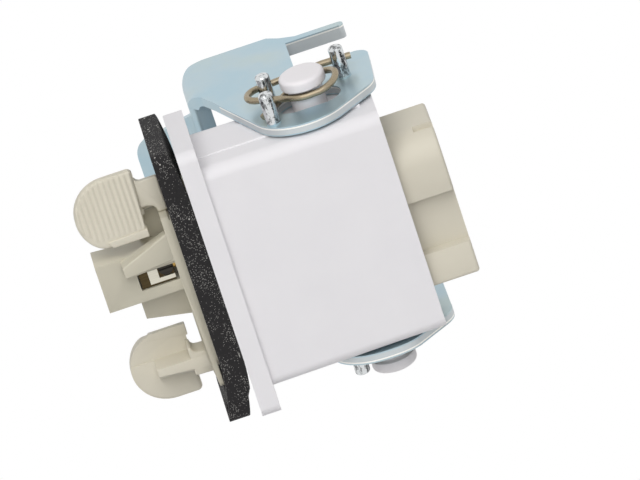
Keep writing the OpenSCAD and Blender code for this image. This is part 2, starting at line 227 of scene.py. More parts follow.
@dataclass(frozen=True)
class PlatedSheet:
    """Steel sheet, stamped and then zinc plated with a blue passivation.

    It looks like pale blue-grey metal under a thin mist, with patches that turn from blue to
    grey-green. The sheared edges are greyer and duller, with a painted highlight along their
    outer corner. The drawn lugs are polished and uneven, with dark streaks painted on them as
    reflections.
    """

    name: str
    blue: str
    grey: str
    green: str
    sheared: str
    painted_highlight: str
    lug: str
    painted_reflection: str
    metal: float = 0.7
    roughness: float = 0.34
    gloss_spread: float = 0.05
    sheared_roughness: float = 0.5
    lug_roughness: float = 0.1
    cloud_mm: float = 9.0
    cloud_stops: Triple = (0.36, 0.5, 0.66)
    mist_mm: float = 1.4
    mist_depth: float = 0.03
    peen_mm: float = 0.35
    peen_depth: float = 0.5
    painted_reflection_mm: Triple = (0.8, 0.8, 1.6)
    painted_reflection_range: Pair = (0.49, 0.59)
    painted_reflection_strength: float = 0.85
    # Where the zones begin: the lobes' and the hook's x and y, and distances from the middle
    lobe_mm: Pair = (9.5, 9.0)
    hook_mm: Pair = (17.0, 15.0)
    fade_mm: float = 3.0
    sheet_mm: Pair = (18.1, 19.1)
    hook_out_mm: float = 19.05
    painted_highlight_mm: Pair = (18.98, 0.11)
    lug_mm: float = 19.5

    def zones(self, tree: Tree, place: Socket) -> tuple[Socket, Socket, Socket]:
        """Masks of the sheet's zones.

        Args:
            tree: the material's node tree.
            place: the object coordinates.

        Returns:
            The masks of the sheared edges, of the painted highlight along their outer corner and of
            the lugs.
        """
        x, y, z = add_node(tree, "SeparateXYZ", {0: place}).outputs
        away = add_node(tree, "Math", {0: z}, operation="ABSOLUTE").outputs[0]
        ends = []
        for (left, depth), test in (
            (self.lobe_mm, "LESS_THAN"),
            (self.hook_mm, "GREATER_THAN"),
        ):
            start, full = (left - self.fade_mm) * MM, (left + self.fade_mm) * MM
            along = add_node(tree, "MapRange", {0: x, 1: start, 2: full}).outputs[0]
            beyond = add_node(tree, "Math", {0: y, 1: depth * MM}, operation=test).outputs[0]
            end = add_node(tree, "Math", {0: along, 1: beyond}, operation="MULTIPLY")
            ends.append(end.outputs[0])
        lobe, hook = ends
        low, high = self.sheet_mm
        sheet, line, within, lug = (
            add_node(tree, "Math", {0: away, 1: at * MM, 2: by * MM}, operation=test).outputs[0]
            for at, by, test in (
                ((low + high) / 2, (high - low) / 2, "COMPARE"),
                (*self.painted_highlight_mm, "COMPARE"),
                (self.hook_out_mm, 0.0, "LESS_THAN"),
                (self.lug_mm, 0.0, "GREATER_THAN"),
            )
        )
        edge = add_node(tree, "Math", {0: lobe, 1: sheet}, operation="MULTIPLY").outputs[0]
        bridge = add_node(tree, "Math", {0: hook, 1: within}, operation="MULTIPLY").outputs[0]
        sheared = add_node(tree, "Math", {0: edge, 1: bridge}, operation="MAXIMUM").outputs[0]
        # The painted highlight: a near-white line along the outer corner of the lobes and the hook
        either = add_node(tree, "Math", {0: lobe, 1: hook}, operation="MAXIMUM").outputs[0]
        painted_highlight = add_node(tree, "Math", {0: either, 1: line}, operation="MULTIPLY").outputs[0]
        return sheared, painted_highlight, lug

    def make(self) -> Material:
        """Builds the material.

        Returns:
            The material.
        """
        material, shader, place = new_material(self.name)
        tree = material.node_tree
        sheared, painted_highlight, lug = self.zones(tree, place)
        cloud = add_node(
            tree,
            "TexNoise",
            {"Vector": place, "Scale": per_mm(self.cloud_mm), "Detail": 4.0, "Roughness": 0.55},
        )
        tint = add_node(tree, "ValToRGB", {0: cloud.outputs[0]})
        stops = tint.color_ramp.elements
        stops.new(self.cloud_stops[1])
        for stop, at, code in zip(stops, self.cloud_stops, (self.blue, self.grey, self.green)):
            stop.position = at
            stop.color = linear(code)
        # Dark streaks along the lugs, painted on as reflections
        stretch = [per_mm(size) for size in self.painted_reflection_mm]
        along = add_node(tree, "Mapping", {"Vector": place, "Scale": stretch})
        painted_reflection_noise = add_node(
            tree,
            "TexNoise",
            {"Vector": along.outputs[0], "Scale": 1.0, "Detail": 4.0, "Roughness": 0.7},
        )
        none, full = self.painted_reflection_range
        painted_reflection = add_node(
            tree, "MapRange", {0: painted_reflection_noise.outputs[0], 1: none, 2: full, 4: self.painted_reflection_strength}
        )
        drawn = add_node(
            tree,
            "Mix",
            {0: painted_reflection.outputs[0], 6: linear(self.lug), 7: linear(self.painted_reflection)},
            data_type="RGBA",
        )
        colour = tint.outputs[0]
        # Over the plated tint: the sheared edges' grey, the painted highlight on their outer
        # corner, and the lugs with their painted reflections
        for mask, layer in (
            (sheared, linear(self.sheared)),
            (painted_highlight, linear(self.painted_highlight)),
            (lug, drawn.outputs[2]),
        ):
            mix = add_node(tree, "Mix", {0: mask, 6: colour, 7: layer}, data_type="RGBA")
            colour = mix.outputs[2]
        mist = add_node(
            tree, "TexNoise", {"Vector": place, "Scale": per_mm(self.mist_mm), "Detail": 3.0}
        )
        smooth, rough = self.roughness - self.gloss_spread, self.roughness + self.gloss_spread
        gloss = add_node(tree, "MapRange", {0: mist.outputs[0], 3: smooth, 4: rough}).outputs[0]
        for mask, value in ((sheared, self.sheared_roughness), (lug, self.lug_roughness)):
            gloss = add_node(tree, "Mix", {0: mask, 2: gloss, 3: value}).outputs[0]
        bump = add_node(
            tree,
            "Bump",
            {"Height": mist.outputs[0], "Strength": self.mist_depth, "Distance": 0.05 * MM},
        )
        peen = add_node(
            tree, "TexNoise", {"Vector": place, "Scale": per_mm(self.peen_mm), "Detail": 3.0}
        )
        dents = add_node(tree, "Math", {0: peen.outputs[0], 1: lug}, operation="MULTIPLY")
        uneven = add_node(
            tree,
            "Bump",
            {
                "Height": dents.outputs[0],
                "Normal": bump.outputs[0],
                "Strength": self.peen_depth,
                "Distance": 0.06 * MM,
            },
        )
        metal = add_node(tree, "MapRange", {0: lug, 3: self.metal, 4: 1.0})
        surface = {
            "Base Color": colour,
            "Roughness": gloss,
            "Metallic": metal.outputs[0],
            "Normal": uneven.outputs[0],
        }
        set_inputs(tree, shader, surface)
        return material


@dataclass(frozen=True)
class BareMetal:
    """Turned or drawn metal.

    It looks polished along fine lines, some of them a little darker and duller.
    """

    name: str
    colour: str
    shade: str
    roughness: float = 0.3
    gloss_range: Pair = (-0.08, 0.12)
    line_mm: float = 0.12
    length_mm: float = 4.0

    def make(self) -> Material:
        """Builds the material.

        Returns:
            The material.
        """
        material, shader, place = new_material(self.name)
        tree = material.node_tree
        # Tool marks are some hundredths of a millimetre wide, drawn coarser so that they show
        stretch = (per_mm(self.length_mm), per_mm(self.line_mm), per_mm(self.line_mm))
        along = add_node(tree, "Mapping", {"Vector": place, "Scale": stretch})
        lines = add_node(
            tree, "TexNoise", {"Vector": along.outputs[0], "Scale": 1.0, "Detail": 3.0}
        )
        colour = add_node(
            tree,
            "Mix",
            {0: lines.outputs[0], 6: linear(self.colour), 7: linear(self.shade)},
            data_type="RGBA",
        )
        smooth, rough = (self.roughness + change for change in self.gloss_range)
        gloss = add_node(tree, "MapRange", {0: lines.outputs[0], 3: smooth, 4: rough})
        surface = {
            "Base Color": colour.outputs[2],
            "Roughness": gloss.outputs[0],
            "Metallic": 1.0,
        }
        set_inputs(tree, shader, surface)
        return material


@dataclass(frozen=True)
class CellRubber:
    """Closed-cell rubber cut from a sheet, dusted with chalk in dense patches and with lint.

    It looks nearly black and dull, with pale specks of two sizes.
    """

    name: str
    colour: str
    pore: str
    speck: str
    roughness: float = 0.85
    pore_mm: float = 0.35
    pore_depth: float = 0.35
    patch_mm: float = 3.2
    patch_range: Pair = (0.4, 0.64)
    fine_mm: float = 0.2
    fine_radius: float = 0.36
    fine_share: Pair = (0.68, 0.36)
    fine_strength: float = 0.5
    coarse_mm: float = 0.62
    coarse_radius: float = 0.22
    coarse_share: float = 0.5
    lint_mm: Triple = (1.6, 1.6, 8.8)
    lint_turn: Triple = (0.5, 0.2, 0.4)
    lint_radius: Pair = (0.09, 0.06)
    core: float = 0.6

    def specks(
        self, tree: Tree, place: Socket, size_mm: float, radius: float, share: Socket | float
    ) -> Socket:
        """A value of one on round specks.

        Args:
            tree: the material's node tree.
            place: the coordinates.
            size_mm: the width of the cells that may hold a speck.
            radius: the speck's radius as a part of the cell.
            share: cells whose random value lies above this hold a speck.

        Returns:
            The socket with the value.
        """
        cells = add_node(tree, "TexVoronoi", {"Vector": place, "Scale": per_mm(size_mm)})
        dot = add_node(
            tree, "MapRange", {0: cells.outputs["Distance"], 1: radius, 2: self.core * radius}
        )
        chosen = add_node(
            tree, "Math", {0: cells.outputs["Color"], 1: share}, operation="GREATER_THAN"
        )
        dots = add_node(
            tree, "Math", {0: dot.outputs[0], 1: chosen.outputs[0]}, operation="MULTIPLY"
        )
        return dots.outputs[0]

    def make(self) -> Material:
        """Builds the material.

        Returns:
            The material.
        """
        material, shader, place = new_material(self.name)
        tree = material.node_tree
        pores = add_node(
            tree,
            "TexNoise",
            {"Vector": place, "Scale": per_mm(self.pore_mm), "Detail": 4.0, "Roughness": 0.65},
        )
        ground = add_node(
            tree,
            "Mix",
            {0: pores.outputs[0], 6: linear(self.pore), 7: linear(self.colour)},
            data_type="RGBA",
        )
        patches = add_node(
            tree, "TexNoise", {"Vector": place, "Scale": per_mm(self.patch_mm), "Detail": 3.0}
        )
        limits = dict(enumerate((patches.outputs[0], *self.patch_range, *self.fine_share)))
        share = add_node(tree, "MapRange", limits).outputs[0]
        fine = self.specks(tree, place, self.fine_mm, self.fine_radius, share)
        coarse = self.specks(tree, place, self.coarse_mm, self.coarse_radius, self.coarse_share)
        stretch = [per_mm(size) for size in self.lint_mm]
        along = add_node(
            tree, "Mapping", {"Vector": place, "Rotation": self.lint_turn, "Scale": stretch}
        )
        threads = add_node(tree, "TexVoronoi", {"Vector": along.outputs[0], "Scale": 1.0})
        none, full = self.lint_radius
        lint = add_node(tree, "MapRange", {0: threads.outputs["Distance"], 1: none, 2: full})
        dust = add_node(tree, "Math", {0: fine, 1: self.fine_strength}, operation="MULTIPLY")
        pale = dust.outputs[0]
        for layer in (coarse, lint.outputs[0]):
            pale = add_node(tree, "Math", {0: pale, 1: layer}, operation="MAXIMUM").outputs[0]
        colour = add_node(
            tree,
            "Mix",
            {0: pale, 6: ground.outputs[2], 7: linear(self.speck)},
            data_type="RGBA",
        )
        bump = add_node(
            tree,
            "Bump",
            {"Height": pores.outputs[0], "Strength": self.pore_depth, "Distance": 0.2 * MM},
        )
        surface = {
            "Base Color": colour.outputs[2],
            "Roughness": self.roughness,
            "Normal": bump.outputs[0],
        }
        set_inputs(tree, shader, surface)
        return material


class Finish(Enum):
    """The finishes of the connector, each with the record's slot that it belongs to."""

    WHITE = (
        "white_plastic",
        MouldedPlastic("moulded white polycarbonate", "#E9E7E9", "#E3E1E4", roughness=0.6, ior=1.5),
    )
    PIN = (
        "pin_plastic",
        MouldedPlastic("moulded white acetal", "#EEEBED", "#E8E4E6", roughness=0.4, ior=1.48),
    )
    BEIGE = (
        "beige_plastic",
        MouldedPlastic("moulded beige polycarbonate", "#D5CFBF", "#CCC6B5", roughness=0.5),
    )
    # The same beige made darker: painted shade on the terminal carrier
    CARRIER = (
        "beige_plastic",
        MouldedPlastic(
            "moulded beige polycarbonate, terminal side", "#C9C4B2", "#C1BBA9", roughness=0.5
        ),
    )
    ZINC = (
        "zinc_steel",
        PlatedSheet(
            "blue zinc plated steel sheet",
            blue="#AEC7D2",
            grey="#B5C9D1",
            green="#BACACB",
            sheared="#CBD1D3",
            # The near white paints a highlight along the sheet's outer corners; the near black
            # paints reflections on the lugs
            painted_highlight="#FAF9F4",
            lug="#D6D9DA",
            painted_reflection="#2B2D2F",
        ),
    )
    WIRE = (
        "spring_wire",
        BareMetal("drawn bronze-coloured spring wire", "#B2A68E", "#877B67", roughness=0.26),
    )
    BRASS = ("contact_brass", BareMetal("turned brass", "#D2B06A", "#B8934E", roughness=0.3))
    # Brass darkened as painted shade of the chamber inside the terminal window
    CLAMP = ("contact_brass", BareMetal("shade-darkened brass", "#5E5138", "#3F3525", roughness=0.45))
    STEEL = ("bright_steel", BareMetal("bright turned steel", "#D6D8D8", "#B9BCBE", roughness=0.3))
    TIN = ("bright_steel", BareMetal("tinned steel", "#E8E4D6", "#D6D2C4", roughness=0.55))
    SCREW = ("bright_steel", BareMetal("blackened steel", "#4A4742", "#2E2C29", roughness=0.42))
    FOAM = ("gasket_foam", CellRubber("cut cellular rubber", "#1F1D1E", "#131213", "#C4C2BD"))
    SEAL = ("seal_rubber", CellRubber("moulded seal rubber", "#3A3A3A", "#2C2C2C", "#454545"))

    def __init__(
        self, slot: str, recipe: MouldedPlastic | PlatedSheet | BareMetal | CellRubber
    ) -> None:
        """Keeps the slot and the recipe.

        Args:
            slot: the record's material slot.
            recipe: what builds the material.
        """
        self.slot = slot
        self.recipe = recipe


class Dresser:
    """Makes each finish once and puts it on pieces."""

    def __init__(self) -> None:
        """Starts with no material made."""
        self.made: dict[Finish, Material] = {}

    def dress(self, piece: Piece, finish: Finish) -> None:
        """Gives a piece one finish.

        Args:
            piece: the object to dress.
            finish: its finish.
        """
        if finish not in self.made:
            self.made[finish] = finish.recipe.make()
        piece.data.materials.clear()
        piece.data.materials.append(self.made[finish])

    def dress_node(self, node: str, finish: Finish) -> None:
        """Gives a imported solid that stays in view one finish, by its node's name."""
        self.dress(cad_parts[node], finish)
        log.info("%s keeps its solid, in %s", node, finish.recipe.name)


dresser = Dresser()


def blend(value: float, low: float, high: float) -> float:
    """A smooth step from nought at the low value to one at the high value."""
    t = min(max((value - low) / (high - low), 0.0), 1.0)
    return t * t * (3 - 2 * t)


def start_piece(piece: Piece) -> None:
    """Selects one object alone and makes it active.

    Args:
        piece: the object.
    """
    bpy.ops.object.select_all(action="DESELECT")
    piece.select_set(True)
    bpy.context.view_layer.objects.active = piece


def place_piece(piece: Piece, body: Body, finish: Finish, *nodes: str) -> None:
    """Dresses a finished piece, fixes it to its body and lets it stand for solids.

    Args:
        piece: the finished object.
        body: the body that it rides on.
        finish: its finish.
        *nodes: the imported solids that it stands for.
    """
    dresser.dress(piece, finish)
    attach(piece, body.value)
    if nodes:
        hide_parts(*nodes)
    log.info("%s rides on %s, %d faces", piece.name, body.value, len(piece.data.polygons))


def merged_copy(node: str, name: str) -> Piece:
    """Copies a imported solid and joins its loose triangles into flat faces.

    Args:
        node: the solid's name.
        name: the name of the new piece.

    Returns:
        The new piece.
    """
    piece = bpy.data.objects.new(name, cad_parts[node].data.copy())
    bpy.context.scene.collection.objects.link(piece)
    start_piece(piece)
    bpy.ops.object.mode_set(mode="EDIT")
    bpy.ops.mesh.select_all(action="SELECT")
    bpy.ops.mesh.remove_doubles(threshold=WELD)
    bpy.ops.mesh.dissolve_limited(angle_limit=FLAT)
    bpy.ops.mesh.select_all(action="DESELECT")
    bpy.ops.object.mode_set(mode="OBJECT")
    return piece


def shade_smooth(angle: float) -> None:
    """Shades the active piece smooth, apart from edges sharper than this many degrees."""
    bpy.ops.object.shade_smooth_by_angle(angle=math.radians(angle))


def round_edges(piece: Piece, radius_mm: float, segments: int = 2, angle: float = 32.0) -> None:
    """Rounds the sharp edges of a piece and shades it smooth.

    Args:
        piece: the object.
        radius_mm: the rounding.
        segments: the number of faces across a rounding.
        angle: edges flatter than this, in degrees, stay.
    """
    start_piece(piece)
    bevel = piece.modifiers.new("Rounding", "BEVEL")
    bevel.width = radius_mm * MM
    bevel.segments = segments
    bevel.limit_method = "ANGLE"
    bevel.angle_limit = math.radians(angle)
    bevel.use_clamp_overlap = True
    bpy.ops.object.modifier_apply(modifier=bevel.name)
    shade_smooth(40)


def even_normals(piece: Piece) -> None:
    """Lets the wide flat faces lead the shading, so that they stay flat beside bends.

    Args:
        piece: the object, shaded smooth.
    """
    start_piece(piece)
    weight = piece.modifiers.new("Even shading", "WEIGHTED_NORMAL")
    weight.keep_sharp = True
    bpy.ops.object.modifier_apply(modifier=weight.name)


def round_chosen(
    piece: Piece, radius_mm: float, segments: int, chosen: Callable[[Vector], bool]
) -> None:
    """Rounds the edges between chosen vertices.

    Args:
        piece: the object.
        radius_mm: the rounding.
        segments: the number of faces across a rounding.
        chosen: tells from a vertex's place, in millimetres, whether it counts.
    """
    start_piece(piece)
    group = piece.vertex_groups.new(name="rounded")
    picked = [v.index for v in piece.data.vertices if chosen(v.co / MM)]
    group.add(picked, 1.0, "REPLACE")
    bevel = piece.modifiers.new("Chosen rounding", "BEVEL")
    bevel.width = radius_mm * MM
    bevel.segments = segments
    bevel.limit_method = "VGROUP"
    bevel.vertex_group = group.name
    bevel.use_clamp_overlap = True
    bpy.ops.object.modifier_apply(modifier=bevel.name)
    piece.vertex_groups.clear()


def mesh_piece(name: str, points: list[Vector], faces: list[tuple[int, ...]]) -> Piece:
    """Makes an object from points in millimetres and faces.

    Args:
        name: the object's name.
        points: its vertices.
        faces: its faces.

    Returns:
        The new object, with its faces turned outwards.
    """
    mesh = bpy.data.meshes.new(name)
    mesh.from_pydata([tuple(point * MM) for point in points], [], faces)
    piece = bpy.data.objects.new(name, mesh)
    bpy.context.scene.collection.objects.link(piece)
    start_piece(piece)
    bpy.ops.object.mode_set(mode="EDIT")
    bpy.ops.mesh.select_all(action="SELECT")
    bpy.ops.mesh.remove_doubles(threshold=WELD)
    bpy.ops.mesh.normals_make_consistent(inside=False)
    bpy.ops.object.mode_set(mode="OBJECT")
    return piece


def block_piece(name: str, front: list[Vector], back: list[Vector]) -> Piece:
    """Makes a solid between two outlines with the same number of corners.

    Args:
        name: the object's name.
        front: the corners of one end.
        back: the corners of the other end.

    Returns:
        The new object.
    """
    count = len(front)
    sides = [(i, (i + 1) % count, count + (i + 1) % count, count + i) for i in range(count)]
    ends = [tuple(range(count)), tuple(range(count, 2 * count))]
    return mesh_piece(name, front + back, sides + ends)


def join_pieces(main: Piece, *others: Piece) -> None:
    """Joins objects into one.

    Args:
        main: the object that keeps its name.
        *others: the objects that become part of it.
    """
    start_piece(main)
    for other in others:
        other.select_set(True)
    bpy.ops.object.join()


@dataclass
class Housing:
    """The white housing with its flange, and its two pivot pins."""

    edge_mm: float = 0.35
    pin_edge_mm: float = 0.1

    def build(self) -> None:
        """Softens the moulded edges of the housing and the pins."""
        shell = merged_copy("housing", "housing_shell")
        round_edges(shell, self.edge_mm, segments=3)
        even_normals(shell)
        place_piece(shell, Body.BASE, Finish.WHITE, "housing")
        for side in ("upper", "lower"):
            node = f"pivot_pin_{side}"
            pin = merged_copy(node, f"pivot_stud_{side}")
            round_edges(pin, self.pin_edge_mm)
            place_piece(pin, Body.BASE, Finish.PIN, node)


@dataclass
class Gasket:
    """The foam gasket, which draws back from the flange above and curls away from it below.

    The spans tell where a bend begins and ends, as parts of half its height.
    """

    bow_mm: float = 1.0
    bow_power: int = 6
    curl_mm: float = 1.4
    curl_span: Pair = (0.55, 1.1)
    step_mm: float = 0.35
    step_from: float = 0.76
    lift_mm: float = 0.75
    lift_span: Pair = (0.85, 1.0)
    steps: int = 40
    edge_mm: float = 0.25

    def build(self) -> None:
        """Cuts the gasket across, bends it and rounds its edges."""
        piece = merged_copy("flange_gasket", "foam_gasket")
        low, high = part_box("flange_gasket")
        start_piece(piece)
        bpy.ops.object.mode_set(mode="EDIT")
        for i in range(1, self.steps):
            bpy.ops.mesh.select_all(action="SELECT")
            height = low.z + (high.z - low.z) * i / self.steps
            bpy.ops.mesh.bisect(plane_co=(0, 0, height), plane_no=(0, 0, 1))
        bpy.ops.mesh.select_all(action="DESELECT")
        bpy.ops.object.mode_set(mode="OBJECT")
        for vertex in piece.data.vertices:
            share = vertex.co.z / high.z
            flange_side = vertex.co.x > high.x / 2
            if share < 0:
                vertex.co.x -= self.curl_mm * MM * blend(-share, *self.curl_span)
                if flange_side and share < -self.step_from:
                    vertex.co.x -= self.step_mm * MM
            elif flange_side:
                vertex.co.x -= self.bow_mm * MM * share**self.bow_power
            vertex.co.z += self.lift_mm * MM * blend(abs(share), *self.lift_span)
        round_edges(piece, self.edge_mm)
        place_piece(piece, Body.BASE, Finish.FOAM, "flange_gasket")


@dataclass
class Lever:
    """The stamped lever with the wire springs that ride on it.

    A spring's heights follow its way: two for the rear leg, two for the left loop, two for the
    front, three for the right loop, two for the way back round the pin and one for the end.
    """

    edge_mm: float = 0.28
    trim_mm: float = 0.5
    trim_span_mm: Pair = (-12.5, -10.0)
    flare_mm: float = 0.6
    flare_x_mm: Pair = (22.0, 28.0)
    flare_y_mm: Pair = (-6.0, 0.0)
    low_plate_mm: float = -17.0
    wire_mm: float = 1.0
    neck_mm: float = 5.0
    gap_mm: float = 0.05
    rear_x_mm: Pair = (7.6, 3.5)
    rear_y_mm: float = 5.8
    left_radius_mm: float = 1.95
    left_centre_mm: Pair = (-6.2, 2.6)
    right_centre_mm: Pair = (1.65, 0.0)
    upper_heights_mm: tuple[float, ...] = (
        2, 2.1, 2.1, 2, 1.95, 1.95, 2, 2.8, 2.1, 2, 1.3, 0.58
    )
    lower_heights_mm: tuple[float, ...] = (
        2, 2, 1.9, 0.6, 0.58, 0.57, 0.57, 0.89, 1.2, 1.3, 1.65, 1.7
    )
    upper_end_mm: Pair = (-6.9, -2.2)
    lower_end_mm: Pair = (-5.2, -0.65)

    def build(self) -> None:
        """Trims the lever, flares its lower front corner, rolls its edges and bends the springs."""
        plate = merged_copy("locking_lever", "lever_sheet")
        for vertex in plate.data.vertices:
            x, y, z = vertex.co / MM
            flare = 0.0
            if z < self.low_plate_mm:
                corner = blend(x, *self.flare_x_mm) * blend(-y, *self.flare_y_mm)
                flare = self.flare_mm * corner
            x += self.trim_mm * blend(-x, *self.trim_span_mm) + flare
            vertex.co = Vector((x, y - flare, z)) * MM
        round_edges(plate, self.edge_mm, segments=3)
        even_normals(plate)
        place_piece(plate, Body.LEVER, Finish.ZINC, "locking_lever")
        self.build_spring("upper", 1, self.route(self.upper_heights_mm, self.upper_end_mm))
        self.build_spring("lower", -1, self.route(self.lower_heights_mm, self.lower_end_mm))

    def arc(
        self, centre: Pair, radius: float, ends: Pair, heights: tuple[float, ...], steps: int
    ) -> list[Vector]:
        """Points of an arc that goes evenly from one height to another.

        Args:
            centre: its centre, from the pivot.
            radius: its radius.
            ends: the angles at its ends, in degrees.
            heights: the heights at its ends.
            steps: the number of steps.

        Returns:
            The points, in millimetres.
        """
        points = []
        for i in range(steps + 1):
            t = i / steps
            angle = math.radians(ends[0] + (ends[1] - ends[0]) * t)
            x = centre[0] + radius * math.cos(angle)
            y = centre[1] + radius * math.sin(angle)
            points.append(Vector((x, y, heights[0] + (heights[1] - heights[0]) * t)))
        return points

    def route(self, heights: tuple[float, ...], end: Pair) -> list[Vector]:
        """The wire's way: along the rear, round the left, along the front, round the pin and out.

        Args:
            heights: the heights along it, above the plate.
            end: where it ends.

        Returns:
            The points, in millimetres from the pivot.
        """
        hug = self.neck_mm / 2 + self.gap_mm + self.wire_mm / 2
        pin = (0.0, 0.0)
        points = [Vector((x, self.rear_y_mm, h)) for x, h in zip(self.rear_x_mm, heights)]
        # Each arc's centre, radius, angles in degrees, first height and steps
        for centre, radius, ends, first, steps in (
            (self.left_centre_mm, self.left_radius_mm, (90, 238), 2, 20),
            (pin, hug, (238, 270), 4, 6),
            (self.right_centre_mm, hug, (-88, 0), 6, 12),
            (self.right_centre_mm, hug, (7, 88), 7, 11),
            (pin, hug, (90, 138), 9, 8),
        ):
            points += self.arc(centre, radius, ends, heights[first : first + 2], steps)
        return points + [Vector((*end, heights[-1]))]

    def build_spring(self, side: str, turn: int, points: list[Vector]) -> None:
        """Sweeps one spring as a smooth round wire.

        Args:
            side: upper or lower.
            turn: 1 above the middle, -1 below it.
            points: the wire's way, from the pivot and above the plate.
        """
        name = f"wire_spring_{side}"
        line = bpy.data.curves.new(name, "CURVE")
        line.dimensions = "3D"
        line.bevel_depth = self.wire_mm / 2 * MM
        line.bevel_resolution = 5
        line.use_fill_caps = True
        spline = line.splines.new("POLY")
        spline.points.add(len(points) - 1)
        for knot, point in zip(spline.points, points):
            place = PIVOT + Vector((point.x, point.y, turn * (PLATE_OUT + point.z)))
            knot.co = (*(place * MM), 1.0)
        piece = bpy.data.objects.new(name, line)
        bpy.context.scene.collection.objects.link(piece)
        start_piece(piece)
        bpy.ops.object.convert(target="MESH")
        piece = bpy.context.view_layer.objects.active
        bpy.ops.object.mode_set(mode="EDIT")
        bpy.ops.mesh.select_all(action="SELECT")
        bpy.ops.mesh.normals_make_consistent(inside=False)
        bpy.ops.object.mode_set(mode="OBJECT")
        shade_smooth(50)
        place_piece(piece, Body.LEVER, Finish.WIRE, f"lever_spring_{side}")


